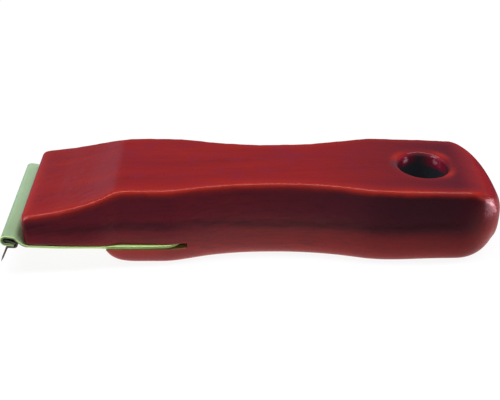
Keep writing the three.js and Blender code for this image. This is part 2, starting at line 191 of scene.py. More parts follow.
class Build:
    """Vertices with four painted values, and faces, gathered for one mesh."""

    def __init__(self):
        self.v, self.edge, self.raw, self.deep, self.pale, self.f = [], [], [], [], [], []

    def add(self, x, y, z, edge=0.0, raw=0.0, deep=0.0, pale=0.0):
        self.v.append((x, y, z))
        self.edge.append(edge)
        self.raw.append(raw)
        self.deep.append(deep)
        self.pale.append(pale)
        return len(self.v) - 1

    def ring(self, a, b, skip=lambda k: False):
        n = len(a)
        for k in range(n):
            if not skip(k):
                self.f.append((a[k], b[k], b[(k + 1) % n], a[(k + 1) % n]))

    def piece(self, name, material, smooth_shade=True):
        mesh = bpy.data.meshes.new(name)
        mesh.from_pydata([((x + SHIFT_X) * MM, y * MM, z * MM) for x, y, z in self.v], [], self.f)
        for label, values in (("edge", self.edge), ("raw", self.raw), ("deep", self.deep), ("pale", self.pale)):
            layer = mesh.attributes.new(label, "FLOAT", "POINT")
            layer.data.foreach_set("value", np.array(values, np.float32))
        bm = bmesh.new()
        bm.from_mesh(mesh)
        bmesh.ops.recalc_face_normals(bm, faces=bm.faces)
        for face in bm.faces:
            face.smooth = smooth_shade
        bm.to_mesh(mesh)
        bm.free()
        mesh.materials.append(material)
        piece = bpy.data.objects.new(name, mesh)
        bpy.context.scene.collection.objects.link(piece)
        return piece


def cut(piece, cutter):
    """Takes the cutter's volume out of the piece."""
    modifier = piece.modifiers.new("cut", "BOOLEAN")
    modifier.operation, modifier.solver, modifier.object = "DIFFERENCE", "EXACT", cutter
    depsgraph = bpy.context.evaluated_depsgraph_get()
    mesh = bpy.data.meshes.new_from_object(piece.evaluated_get(depsgraph), depsgraph=depsgraph)
    piece.modifiers.remove(modifier)
    old, name = piece.data, piece.data.name
    piece.data = mesh
    bpy.data.meshes.remove(old)
    mesh.name = name
    bpy.data.objects.remove(cutter)


def sharp_by_angle(piece, degrees):
    bm = bmesh.new()
    bm.from_mesh(piece.data)
    limit = math.radians(degrees)
    for e in bm.edges:
        e.smooth = not (len(e.link_faces) == 2 and e.calc_face_angle(0) > limit)
    bm.to_mesh(piece.data)
    bm.free()


# ---------------------------------------------------------------------------
# Materials
# ---------------------------------------------------------------------------
class Nodes:
    """A small hand for building node trees."""

    def __init__(self, name):
        self.material = bpy.data.materials.new(name)
        self.material.use_nodes = True
        self.tree = self.material.node_tree
        self.tree.nodes.clear()
        self.out = self.new("ShaderNodeOutputMaterial")
        self.shader = self.new("ShaderNodeBsdfPrincipled")
        self.link(self.shader.outputs["BSDF"], self.out.inputs["Surface"])

    def new(self, kind, **settings):
        node = self.tree.nodes.new(kind)
        for key, value in settings.items():
            setattr(node, key, value)
        return node

    def link(self, a, b):
        self.tree.links.new(a, b)

    def put(self, socket, value):
        if hasattr(value, "is_linked"):
            self.link(value, socket)
        else:
            socket.default_value = value

    def place(self, scale=(1, 1, 1), offset=(0, 0, 0)):
        """Object coordinates in millimetres, stretched by scale."""
        coords = self.new("ShaderNodeTexCoord")
        mapping = self.new("ShaderNodeMapping")
        mapping.inputs["Scale"].default_value = [s * 1000 for s in scale]
        mapping.inputs["Location"].default_value = offset
        self.link(coords.outputs["Object"], mapping.inputs["Vector"])
        return mapping.outputs["Vector"]

    def stretch(self, vector, scale, offset=(0, 0, 0)):
        mapping = self.new("ShaderNodeMapping")
        mapping.inputs["Scale"].default_value = scale
        mapping.inputs["Location"].default_value = offset
        self.link(vector, mapping.inputs["Vector"])
        return mapping.outputs["Vector"]

    def noise(self, vector, scale, detail=3.0, rough=0.55, distortion=0.0):
        node = self.new("ShaderNodeTexNoise")
        node.inputs["Scale"].default_value = scale
        node.inputs["Detail"].default_value = detail
        node.inputs["Roughness"].default_value = rough
        node.inputs["Distortion"].default_value = distortion
        self.link(vector, node.inputs["Vector"])
        return node.outputs["Fac"]

    def ramp(self, value, stops, interpolation="LINEAR"):
        node = self.new("ShaderNodeValToRGB")
        node.color_ramp.interpolation = interpolation
        elements = node.color_ramp.elements
        while len(elements) < len(stops):
            elements.new(0.5)
        for element, (position, colour) in zip(elements, stops):
            element.position = position
            element.color = (*colour, 1.0) if len(colour) == 3 else colour
        self.link(value, node.inputs["Fac"])
        return node.outputs["Color"]

    def span(self, value, a, b, c=0.0, d=1.0):
        node = self.new("ShaderNodeMapRange")
        node.clamp = True
        for key, x in (("From Min", a), ("From Max", b), ("To Min", c), ("To Max", d)):
            node.inputs[key].default_value = x
        self.link(value, node.inputs["Value"])
        return node.outputs["Result"]

    def math(self, operation, a, b=0.0):
        node = self.new("ShaderNodeMath", operation=operation)
        self.put(node.inputs[0], a)
        self.put(node.inputs[1], b)
        return node.outputs[0]

    def mix(self, share, a, b, blend="MIX"):
        node = self.new("ShaderNodeMix", data_type="RGBA", blend_type=blend)
        self.put(node.inputs[0], share)
        self.put(node.inputs[6], a if hasattr(a, "is_linked") else (*a, 1.0))
        self.put(node.inputs[7], b if hasattr(b, "is_linked") else (*b, 1.0))
        return node.outputs[2]

    def painted(self, name):
        node = self.new("ShaderNodeAttribute", attribute_name=name)
        return node.outputs["Fac"]

    def bump(self, height, distance, strength=1.0, normal=None):
        node = self.new("ShaderNodeBump")
        node.inputs["Strength"].default_value = strength
        node.inputs["Distance"].default_value = distance
        self.link(height, node.inputs["Height"])
        if normal is not None:
            self.link(normal, node.inputs["Normal"])
        return node.outputs["Normal"]

    def set(self, **values):
        for key, value in values.items():
            self.put(self.shader.inputs[key.replace("_", " ")], value)


def lacquered_wood():
    n = Nodes("lacquered_wood")
    edge, raw = n.painted("edge"), n.painted("raw")
    along = n.new("ShaderNodeSeparateXYZ")
    n.link(n.place((1, 1, 1)), along.inputs["Vector"])
    # the bevel at the front was cut nearly along the fibres, so the figure follows it
    lift = n.math("ADD", n.span(along.outputs["X"], -97.0, -74.0, 3.8, 0.0), n.span(along.outputs["X"], -74.0, -56.5, 5.5, 0.0))
    grain = n.new("ShaderNodeCombineXYZ")
    n.link(along.outputs["X"], grain.inputs["X"])
    n.link(along.outputs["Y"], grain.inputs["Y"])
    n.link(n.math("ADD", along.outputs["Z"], lift), grain.inputs["Z"])
    grain = grain.outputs["Vector"]
    # long growth bands, streaks and fine pores, all running along the handle
    bands = n.noise(n.stretch(grain, (0.012, 0.11, 0.11)), 1.0, 4.0, 0.6, 0.4)
    streaks = n.noise(n.stretch(grain, (0.022, 0.62, 0.62), (3.1, 0.4, 7.7)), 1.0, 2.5, 0.58, 0.15)
    pores = n.noise(n.stretch(grain, (0.07, 2.3, 2.3), (1.7, 9.2, 0.3)), 1.0, 2.0, 0.5)
    blotch = n.noise(n.place((0.03, 0.055, 0.055), (5.0, 2.0, 1.0)), 1.0, 3.0, 0.55)
    colour = n.ramp(bands, [(0.28, (0.195, 0.0100, 0.0140)), (0.50, (0.258, 0.0115, 0.0125)), (0.74, (0.295, 0.0140, 0.0110))])
    colour = n.mix(n.span(streaks, 0.48, 0.76, 0.0, 0.28), colour, (0.175, 0.0100, 0.0195))
    colour = n.mix(n.span(blotch, 0.50, 0.72, 0.0, 0.55), colour, (0.205, 0.0105, 0.0205))
    colour = n.mix(n.span(pores, 0.56, 0.80, 0.0, 0.22), colour, (0.130, 0.0095, 0.0180))
    fleck = n.noise(n.stretch(grain, (0.085, 0.15, 0.15), (6.0, 3.0, 8.0)), 1.0, 4.0, 0.62)
    colour = n.mix(n.span(fleck, 0.50, 0.68, 0.0, 0.60), colour, (0.222, 0.0130, 0.0290))
    # painted shade: darker towards the tail, mostly higher up, and less so at the very end
    tail = n.math("MULTIPLY", n.span(along.outputs["X"], 22.0, 88.0, 0.0, 0.94), n.span(along.outputs["Z"], 8.0, 22.0, 0.25, 1.0))
    tail = n.math("MULTIPLY", tail, n.span(along.outputs["X"], 84.0, 95.0, 1.0, 0.10))
    colour = n.mix(tail, colour, (0.082, 0.0085, 0.0180))
    # painted shade: faces turned sideways darker and more purple than the top, more so higher up
    facing = n.new("ShaderNodeSeparateXYZ")
    n.link(n.new("ShaderNodeTexCoord").outputs["Normal"], facing.inputs["Vector"])
    side = n.math("MULTIPLY", n.span(n.math("ABSOLUTE", facing.outputs["Y"]), 0.55, 0.95, 0.0, 0.60), n.span(along.outputs["Z"], 9.0, 19.0, 0.15, 1.0))
    colour = n.mix(side, colour, (0.160, 0.0155, 0.0250))
    steep = n.span(n.math("ABSOLUTE", facing.outputs["Y"]), 0.60, 0.90)
    fine = n.noise(n.stretch(grain, (0.06, 0.85, 0.85), (2.0, 5.0, 1.0)), 1.0, 3.0, 0.65)
    colour = n.mix(n.math("MULTIPLY", n.span(fine, 0.46, 0.66, 0.0, 0.42), n.span(steep, 0.0, 1.0, 0.22, 1.0)), colour, (0.105, 0.0085, 0.0160))
    # painted shade: the upper parts of the sides nearly black from the middle to past the hole
    beside = n.math("MULTIPLY", n.span(along.outputs["X"], -25.0, 62.0), n.span(along.outputs["X"], 80.0, 98.0, 1.0, 0.0))
    dark = n.math("MULTIPLY", n.math("MULTIPLY", beside, steep), n.span(along.outputs["Z"], 15.0, 19.5, 0.0, 0.62))
    colour = n.mix(dark, colour, (0.050, 0.0180, 0.0250))
    # painted light from the floor: the lower sides lighter and redder from the middle towards the tail
    low = n.math("MULTIPLY", n.span(along.outputs["X"], 20.0, 60.0, 0.0, 0.75), n.span(along.outputs["Z"], 12.0, 17.0, 1.0, 0.0))
    colour = n.mix(low, colour, (0.300, 0.0090, 0.0140))
    smudge = n.math("MAXIMUM", n.span(fine, 0.48, 0.66, 0.0, 0.26), n.span(fleck, 0.52, 0.68, 0.0, 0.30))
    colour = n.mix(n.math("MULTIPLY", smudge, n.math("MULTIPLY", steep, n.span(along.outputs["Z"], 12.0, 19.0, 1.0, 0.2))), colour, (0.120, 0.0105, 0.0200))
    # painted shade: one dark band runs along each side at about half height
    drift = n.noise(n.place((0.035, 0.0, 0.0), (2.3, 0.0, 0.0)), 1.0, 3.0, 0.6)
    middle = n.math("ADD", n.span(along.outputs["X"], -95.0, 12.0, 23.2, 17.9), n.span(along.outputs["X"], 20.0, 90.0, 0.0, 3.0))
    middle = n.math("ADD", middle, n.span(drift, 0.2, 0.8, -2.2, 2.2))
    height = n.math("SUBTRACT", along.outputs["Z"], middle)
    height = n.math("MULTIPLY", n.math("ABSOLUTE", height), n.span(along.outputs["X"], -90.0, -20.0, 0.72, 1.0))
    line = n.math("MULTIPLY", n.span(height, 0.4, 3.0, 1.0, 0.0), n.span(along.outputs["X"], 78.0, 94.0, 1.0, 0.0))
    line = n.math("MULTIPLY", line, n.span(streaks, 0.35, 0.60, 0.45, 1.0))
    line = n.math("MULTIPLY", line, n.span(n.math("ABSOLUTE", along.outputs["Y"]), 13.0, 16.0, 0.0, 0.70))
    colour = n.mix(line, colour, (0.055, 0.0060, 0.0100))
    # end grain drinks more stain
    end_grain = n.math("MULTIPLY", n.span(facing.outputs["X"], -0.85, -0.55, 0.70, 0.0), n.span(along.outputs["X"], -92.0, -90.0, 1.0, 0.0))
    colour = n.mix(end_grain, colour, (0.085, 0.0070, 0.0160))
    # painted highlight: lighter orange-red along the rounded edges, round the hole's rim and down the lip's side, in
    # broken patches
    painted_edge_highlight = n.math("MULTIPLY", edge, n.span(blotch, 0.30, 0.62, 0.55, 1.0))
    colour = n.mix(n.math("MULTIPLY", painted_edge_highlight, 0.84), colour, (0.450, 0.0270, 0.0150))
    # sawn faces are bare wood with a little stain
    fibre = n.ramp(streaks, [(0.30, (0.30, 0.20, 0.075)), (0.70, (0.46, 0.36, 0.16))])
    colour = n.mix(raw, colour, fibre)
    # painted shade: nearly black deeper in the hanging hole, and a dark worn patch on the left of its rim
    deep = n.painted("deep")
    colour = n.mix(deep, colour, (0.0360, 0.0400, 0.0520))
    # painted light inside the hole's rim: lighter crimson on the far wall, with two patches of painted pink reflection
    # in it
    pale = n.painted("pale")
    light_breakup = n.noise(n.place((0.55, 0.55, 0.55), (3.0, 1.0, 2.0)), 1.0, 3.0, 0.7)
    colour = n.mix(n.math("MULTIPLY", n.span(pale, 0.04, 0.48, 0.0, 0.95), n.span(light_breakup, 0.30, 0.50, 0.35, 1.0)), colour, (0.360, 0.0130, 0.0500))
    speckle = n.noise(n.place((0.95, 0.95, 0.95), (1.0, 4.0, 2.0)), 1.0, 3.0, 0.7)
    colour = n.mix(n.math("MULTIPLY", n.span(pale, 0.46, 0.90), n.span(speckle, 0.40, 0.54)), colour, (0.960, 0.500, 0.610))
    wear = n.span(n.noise(n.place((0.35, 0.35, 0.35), (2.0, 2.0, 2.0)), 1.0, 4.0, 0.65), 0.35, 0.70, 0.26, 0.42)
    rough = n.math("ADD", wear, n.math("MULTIPLY", raw, 0.45))
    # grain telegraphing through the lacquer, pores, and the unevenness of a dipped coat
    relief = n.math("ADD", n.math("MULTIPLY", streaks, 0.55), n.math("MULTIPLY", pores, 0.30))
    peel = n.noise(n.place((0.28, 0.28, 0.28), (8.0, 1.0, 4.0)), 1.0, 2.0, 0.5)
    normal = n.bump(relief, 0.00006, 0.55)
    normal = n.bump(peel, 0.00022, 0.22, normal)
    n.set(Base_Color=colour, Roughness=rough, Normal=normal, Coat_Weight=0.24, Coat_Roughness=0.08,
          Coat_IOR=1.5, Specular_IOR_Level=0.06)
    ripple = n.noise(n.place((0.55, 0.55, 0.55), (1.0, 7.0, 3.0)), 1.0, 2.0, 0.5)
    coat_normal = n.bump(ripple, 0.00016, 0.50, n.bump(peel, 0.00022, 0.42))
    n.put(n.shader.inputs["Coat Normal"], coat_normal)
    return n.material


def plated_steel():
    n = Nodes("plated_steel")
    edge = n.painted("edge")
    cloud = n.noise(n.place((0.10, 0.05, 0.10)), 1.0, 4.0, 0.6)
    rolled = n.noise(n.place((1.6, 0.06, 1.6), (4.0, 0.0, 1.0)), 1.0, 4.0, 0.6)
    speck = n.noise(n.place((1.4, 1.4, 1.4), (0.0, 6.0, 2.0)), 1.0, 3.0, 0.6)
    colour = n.ramp(cloud, [(0.30, (0.405, 0.585, 0.350)), (0.55, (0.460, 0.650, 0.410)), (0.78, (0.530, 0.690, 0.425))])
    colour = n.mix(n.span(speck, 0.58, 0.80, 0.0, 0.35), colour, (0.28, 0.38, 0.22))
    # painted shade: the plating darker towards the -Y side
    across = n.new("ShaderNodeSeparateXYZ")
    n.link(n.place((1, 1, 1)), across.inputs["Vector"])
    colour = n.mix(n.span(across.outputs["Y"], -31.0, 16.0, 0.60, 0.0), colour, (0.29, 0.42, 0.22))
    # painted highlight: bright yellow-green on the sheet's rounded edges, and painted light on the top beside the wood
    colour = n.mix(n.math("MULTIPLY", edge, 0.97), colour, (0.68, 1.0, 0.36))
    # painted shade: the tongue's sheared edges behind the lip's nose are dark olive, in the shade of the wood above
    # them
    colour = n.mix(n.math("MULTIPLY", n.painted("raw"), 0.9), colour, (0.190, 0.285, 0.080))
    # painted shade inside the fold, and painted shadow in the corner in front of the wood
    colour = n.mix(n.painted("deep"), colour, (0.030, 0.040, 0.020))
    rough = n.span(rolled, 0.30, 0.72, 0.30, 0.46)
    relief = n.math("ADD", n.math("MULTIPLY", rolled, 0.6), n.math("MULTIPLY", speck, 0.4))
    n.set(Base_Color=colour, Metallic=0.22, Roughness=rough, Normal=n.bump(relief, 0.00003, 0.45))
    return n.material


def blade_steel():
    n = Nodes("blade_steel")
    ground = n.painted("edge")
    temper = n.noise(n.place((0.20, 0.05, 0.20)), 1.0, 3.0, 0.6)
    drawn = n.noise(n.place((2.2, 0.05, 2.2), (1.0, 3.0, 0.0)), 1.0, 4.0, 0.6)
    wheel = n.noise(n.place((0.25, 3.5, 0.25), (0.0, 1.0, 5.0)), 1.0, 3.0, 0.6)
    colour = n.ramp(temper, [(0.30, (0.070, 0.072, 0.064)), (0.55, (0.105, 0.105, 0.086)), (0.75, (0.150, 0.135, 0.080))])
    colour = n.mix(n.span(wheel, 0.3, 0.7, 0.0, 0.3), colour, (0.060, 0.064, 0.060))
    colour = n.mix(ground, colour, n.ramp(wheel, [(0.30, (0.42, 0.43, 0.40)), (0.70, (0.66, 0.67, 0.63))]))
    rough = n.span(drawn, 0.30, 0.70, 0.24, 0.40)
    relief = n.mix(ground, drawn, wheel)
    n.set(Base_Color=colour, Metallic=0.95, Roughness=rough, Normal=n.bump(relief, 0.00002, 0.5))
    return n.material


def screw_steel():
    n = Nodes("screw_steel")
    cloud = n.noise(n.place((0.5, 0.5, 0.5)), 1.0, 4.0, 0.6)
    scratch = n.noise(n.place((2.5, 0.4, 2.5), (1.0, 0.0, 2.0)), 1.0, 3.0, 0.6)
    colour = n.ramp(cloud, [(0.30, (0.44, 0.43, 0.37)), (0.70, (0.60, 0.59, 0.54))])
    n.set(Base_Color=colour, Metallic=0.95, Roughness=n.span(scratch, 0.3, 0.7, 0.28, 0.44),
          Normal=n.bump(scratch, 0.00003, 0.4))
    return n.material


WOOD, PLATED, BLADE, SCREW = lacquered_wood(), plated_steel(), blade_steel(), screw_steel()

# ---------------------------------------------------------------------------
# Handle
# ---------------------------------------------------------------------------
N_TOP, N_ARC, N_SIDE, N_FIL, N_LINE, N_KERF, N_LOW, N_FLAT = 24, 12, 24, 4, 16, 3, 20, 21
LIP_FILLET = 0.45


def jaw_fillet(x):
    return float(np.interp(x, [-68, -57], [0.85, 0.3]))


def top_half(x, s):
    """Top middle to the start of the side, as (y, z, edge)."""
    w, top, bottom, r, a, b = s
    front = 0.62 * glow(x - FRONT_X - 1.2, 2.2)
    out = []
    for k in range(N_TOP):
        y = (w - r) * k / N_TOP
        out.append((y, top, max(front, 0.30 * edge_highlight_at(r) * glow(w - r - y, 2.5))))
    for k in range(N_ARC + 1):
        t = k * math.pi / 2 / N_ARC
        # wide roundings run out softly into the flats
        power = 2 / (2 + 0.6 * step((r - 2.4) / 5))
        y, z = w - r + r * math.sin(t) ** power, top - r + r * max(math.cos(t), 0.0) ** power
        out.append((y, z, max(front, (0.30 + 0.70 * step(math.degrees(t) / 22)) * (1 - 0.3 * step((math.degrees(t) - 58) / 32)) * edge_highlight_at(r))))
    return out


def edge_highlight_at(r):
    """The painted orange-red edge highlight is full on tight edges only and fades on wide roundings."""
    return min(1.0, (TOP_EDGE_R * 1.2 / r) ** 2)


def side_points(side, f0, f1, count, top_z):
    out = []
    for k in range(1, count + 1):
        y, z = side.at(f0 + (f1 - f0) * k / count)
        out.append((float(y), float(z), 0.7 * glow(top_z - z, 0.95)))
    return out


def corner(y, z, radius, sign, x):
    """Small rounding between the side and a sawn face, from side to face; at the end of the saw cut it is a plain corner.
    sign is +1 where the face lies below (upper part) and -1 where it lies above (lower part)."""
    g = step((KERF_END_X - x) / 1.6)
    out = []
    for k in range(1, N_FIL + 1):
        t = k * math.pi / 2 / N_FIL
        round_y, round_z = y - radius + radius * math.cos(t), z + sign * radius * (1 - math.sin(t))
        if k <= N_FIL // 2:
            plain = (y, z + sign * radius * (1 - 2 * k / N_FIL))
        else:
            plain = (y - radius * (2 * k / N_FIL - 1), z)
        out.append((plain[0] + (round_y - plain[0]) * g, plain[1] + (round_z - plain[1]) * g))
    return out


def mirrored(build, x, half, raws):
    """A closed ring of vertices from half a section that runs from one middle point to the other."""
    right = [build.add(x, y, z, e, w) for (y, z, e), w in zip(half, raws)]
    left = [build.add(x, -y, z, e, w) for (y, z, e), w in list(zip(half, raws))[1:-1]]
    return right + left[::-1]


def cap(build, ring, centre, steps=(0.72, 0.42)):
    """Closes a ring with smaller and smaller rings and a last face."""
    last = ring
    for s in steps:
        inner = []
        for k in ring:
            x, y, z = build.v[k]
            inner.append(build.add(x, centre[1] + (y - centre[1]) * s, centre[2] + (z - centre[2]) * s,
                                   build.edge[k] * s * s, build.raw[k]))
        build.ring(last, inner)
        last = inner
    build.f.append(tuple(last))


def make_handle():
    b = Build()
    x = KERF_END_X
    side = Side(x)
    s = section(x)
    seat, lip = seat_at(x), lip_top_at(x)
    f_seat, f_seat_up = side.share(seat), side.share(seat + jaw_fillet(x))
    f_lip, f_lip_down = side.share(lip), side.share(lip - LIP_FILLET)
    shares = list(np.linspace(0, f_seat_up, N_SIDE + 1)[1:])
    shares += list(np.linspace(f_seat_up, f_seat, N_FIL // 2 + 1)[1:])
    shares += list(np.linspace(f_seat, f_lip, N_KERF + 1)[1:])
    shares += list(np.linspace(f_lip, f_lip_down, N_FIL // 2 + 1)[1:])
    shares += list(np.linspace(f_lip_down, 1.0, N_LOW + 1)[1:])

    # whole sections, from the end of the saw cut to the tail
    xs = [x, x + 0.5] + list(np.arange(-28.5, 84.0, 1.5))
    xs += [TAIL_X - 22 + 22 * math.sin(k * math.pi / 2 / 44) for k in range(45)]
    xs = [v for i, v in enumerate(xs) if i == 0 or v - xs[i - 1] > 1e-6]
    rings = []
    for v in xs:
        sv, sd = section(v), Side(v)
        half = top_half(v, sv)
        # width of the painted orange-red highlight band under the top edges
        edge_band_width = 0.95 - 0.45 * step((v - 10) / 50)
        half += [(float(sd.at(f)[0]), float(sd.at(f)[1]), 0.7 * edge_highlight_at(sv[3]) * glow(sv[1] - sv[3] - sd.at(f)[1], edge_band_width)) for f in shares]
        y_flat = sv[0] - sv[4]
        half += [(y_flat * (1 - k / N_FLAT), sv[2], 0.0) for k in range(1, N_FLAT + 1)]
        rings.append(mirrored(b, v, half, [0.0] * len(half)))
    count = len(rings[0])
    middle = count // 2
    # the hanging hole replaces a block of the top and of the bottom grid
    i1 = int(np.argmin([abs(v - (HOLE_X - 16)) for v in xs]))
    i2 = int(np.argmin([abs(v - (HOLE_X + 16)) for v in xs]))
    top_j, low_j = 18, 18
    for i in range(len(rings) - 1):
        inside = i1 <= i < i2

        def skip(k, inside=inside):
            if not inside:
                return False
            on_top = k < top_j or k >= count - top_j
            below = middle - low_j <= k < middle + low_j
            return on_top or below
        b.ring(rings[i], rings[i + 1], skip)
    cap(b, rings[-1], (TAIL_X, 0.0, (section(TAIL_X)[1] + section(TAIL_X)[2]) / 2))

    def frame_of(offsets):
        """Vertices round the block, in order, for a list of ring positions across it."""
        loop = [rings[i1][k] for k in offsets]
        loop += [rings[i][offsets[-1]] for i in range(i1 + 1, i2)]
        loop += [rings[i2][k] for k in offsets[::-1]]
        loop += [rings[i][offsets[0]] for i in range(i2 - 1, i1, -1)]
        return loop
    upper = frame_of([k % count for k in range(-top_j, top_j + 1)])
    lower = frame_of([middle + low_j - k for k in range(0, 2 * low_j + 1)])
    level = smooth([(v, section(v)[1]) for v in np.arange(50, 96, 1.0)])

    def hole_rings(loop, outer, z_of, rim):
        angles = [math.atan2(b.v[k][1], b.v[k][0] - HOLE_X) for k in loop]
        last = loop
        for g in (0.22, 0.44, 0.64, 0.80, 0.92, 1.0):
            ring = []
            for k, t in zip(loop, angles):
                px, py = HOLE_X + outer * math.cos(t), outer * math.sin(t)
                vx, vy = b.v[k][0] + (px - b.v[k][0]) * g, b.v[k][1] + (py - b.v[k][1]) * g
                worn = glow(math.hypot(vx - HOLE_X, vy) - outer, 1.6)
                ring.append(b.add(vx, vy, z_of(vx), rim(t) * worn, 0.0, 0.35 * stain(t) * worn if rim is rim_at else 0.0))
            b.ring(last, ring)
            last = ring
        return last, angles

    def near_angle(q, degrees, width):
        return glow(abs((math.degrees(q) - degrees + 180) % 360 - 180), width)

    def rim_at(q):
        """How much painted edge highlight goes round the upper rim: most at three places."""
        return 0.12 + max(0.80 * near_angle(q, 148, 22), 0.80 * near_angle(q, 44, 18), 0.85 * near_angle(q, -38, 18))

    def stain(q):
        return near_angle(q, 180, 17)

    # two patches of painted pink reflection on the far wall
    def pink_reflection_at(q):
        return max(near_angle(q, 124, 11), 0.78 * near_angle(q, 50, 12))

    def far_wall_light_at(q, depth):
        """Painted light inside the rim: lighter crimson to about 5 mm down, either side of the far side."""
        left = near_angle(q, 128, 24) * (1 - step((depth - 4.2) / 1.4))
        right = near_angle(q, 40, 30) * (1 - step((depth - 5.2) / 1.6))
        return max(left, right)
    last, angles = hole_rings(upper, HOLE_R + HOLE_RIM_R, level, rim_at)
    # round the rim and down the wall: painted highlight on the rim, painted shade deep in the hole, painted light on
    # the far wall
    steps = 9
    for k in range(1, steps + 1):
        t = k * math.pi / 2 / steps
        rad = HOLE_R + HOLE_RIM_R * (1 - math.sin(t))
        ring = []
        for q in angles:
            px, py = HOLE_X + rad * math.cos(q), rad * math.sin(q)
            depth = HOLE_RIM_R * (1 - math.cos(t))
            far_wall_light = far_wall_light_at(q, depth)
            ring.append(b.add(px, py, level(px) - depth, (0.25 + 0.75 * rim_at(q)) * (1 - 0.7 * k / steps), 0.0,
                              max(0.85 * step((k - 4) / 5) * (1 - 0.95 * far_wall_light), 0.75 * stain(q)),
                              max(0.5 * far_wall_light, pink_reflection_at(q) * glow(abs(depth - 3.0), 2.0)) * step((k - 3) / 4)))
        b.ring(last, ring)
        last = ring
    low_rim = 1.2
    for g in (0.03, 0.06, 0.09, 0.12, 0.15, 0.18, 0.22, 0.28, 0.36, 0.46, 0.58, 0.72, 0.86, 1.0):
        ring = []
        for q in angles:
            px, py = HOLE_X + HOLE_R * math.cos(q), HOLE_R * math.sin(q)
            z0 = level(px) - HOLE_RIM_R
            depth = (z0 - low_rim) * g
            far_wall_light = far_wall_light_at(q, depth + HOLE_RIM_R)
            ring.append(b.add(px, py, z0 - depth, 0.20 * glow(depth, 1.5), 0.0,
                              (0.85 + 0.15 * step(depth / 3.5)) * (1 - 0.95 * far_wall_light) * (1 - 0.75 * step((g - 0.80) / 0.18)),
                              max(0.5 * far_wall_light, pink_reflection_at(q) * glow(abs(depth - 1.2), 2.0))))
        b.ring(last, ring)
        last = ring
    wall_end = last
    last, low_angles = hole_rings(lower, HOLE_R + low_rim, lambda v: 0.0, lambda q: 0.6)
    for k in range(1, 6):
        t = k * math.pi / 2 / 6
        rad = HOLE_R + low_rim * (1 - math.sin(t))
        ring = [b.add(HOLE_X + rad * math.cos(q), rad * math.sin(q), low_rim * (1 - math.cos(t)), 0.8) for q in low_angles]
        b.ring(last, ring)
        last = ring
    # join the wall to the lower rim: same count, matched by angle
    n = len(last)
    assert n == len(wall_end), (n, len(wall_end))
    start = min(range(n), key=lambda k: math.hypot(b.v[last[k]][0] - b.v[wall_end[0]][0], b.v[last[k]][1] - b.v[wall_end[0]][1]))
    ahead = b.v[last[(start + 1) % n]]
    behind = b.v[last[(start - 1) % n]]
    target = b.v[wall_end[1]]
    sign = 1 if math.hypot(ahead[0] - target[0], ahead[1] - target[1]) < math.hypot(behind[0] - target[0], behind[1] - target[1]) else -1
    matched = [last[(start + sign * k) % n] for k in range(n)]
    b.ring(wall_end, matched)

    # end wall of the saw cut
    at_seat = N_TOP + N_ARC + N_SIDE + N_FIL // 2
    at_lip = at_seat + N_KERF
    cols = N_FIL // 2 + N_LINE
    y_seat, y_lip = side.at(f_seat)[0], side.at(f_lip)[0]

    def across(y_corner, fillet):
        ys = [y_corner - fillet * (k / (N_FIL // 2)) for k in range(N_FIL // 2 + 1)]
        y0 = ys[-1]
        return ys + [y0 * (1 - k / N_LINE) for k in range(1, N_LINE + 1)]
    wall = []
    for row in range(N_KERF + 1):
        g = row / N_KERF
        z = seat + (lip - seat) * g
        ys = [a * (1 - g) + c * g for a, c in zip(across(y_seat, jaw_fillet(x)), across(y_lip, LIP_FILLET))]
        right = [rings[0][at_seat + row]] + [b.add(x, y, z, 0.0, 1.0) for y in ys[1:]]
        left = [rings[0][count - at_seat - row]] + [b.add(x, -y, z, 0.0, 1.0) for y in ys[1:-1]]
        wall.append(right + left[::-1])
    for row in range(N_KERF):
        for k in range(len(wall[0]) - 1):
            b.f.append((wall[row][k], wall[row + 1][k], wall[row + 1][k + 1], wall[row][k + 1]))

    # upper part in front of the end of the saw cut
    first = [FRONT_X + FRONT_PLAN_R * (1 - math.cos(k * math.pi / 2 / 12)) for k in range(13)]
    end_xs = [KERF_END_X - d for d in (1.9, 1.5, 1.0, 0.5)]
    xs_jaw = first + list(np.arange(FRONT_X + FRONT_PLAN_R + 1.0, KERF_END_X - 2.1, 1.4)) + end_xs
    last = None
    for v in xs_jaw:
        sv, sd = section(v), Side(v)
        top_z = sv[1] - sv[3]
        z_seat = seat_at(v)
        half = top_half(v, sv)
        fillet = jaw_fillet(v)
        f1 = sd.share(z_seat + fillet)
        half += side_points(sd, 0.0, f1, N_SIDE, top_z)
        y0 = half[-1][0]
        front = 0.6 * glow(v - FRONT_X - 1.2, 2.0)
        half = [(p, q, max(e, front * glow(top_z - q, 1.5))) for p, q, e in half]
        fil = corner(y0, z_seat, fillet, 1, v)
        half += [(p, q, 0.7) for p, q in fil]
        y1 = half[-1][0]
        half += [(y1 * (1 - k / N_LINE), z_seat, 0.0) for k in range(1, N_LINE + 1)]
        raws = [0.0] * (len(half) - N_FIL - N_LINE) + [0.0, 0.0, 0.3, 0.8] + [1.0] * N_LINE
        if v < SEAT_FRONT_X:
            raws = [0.0] * len(raws)
        ring = mirrored(b, v, half, raws)
        if last is None:
            z_mid = (sv[1] + z_seat) / 2
            cap(b, ring, (v, 0.0, z_mid), (0.92, 0.6))
        else:
            b.ring(last, ring)
        last = ring
    end_right = [rings[0][k] for k in range(at_seat + 1)]
    end_left = [rings[0][count - k] for k in range(at_seat, 0, -1)]
    b.ring(last, end_right + wall[0][1:-1] + end_left)

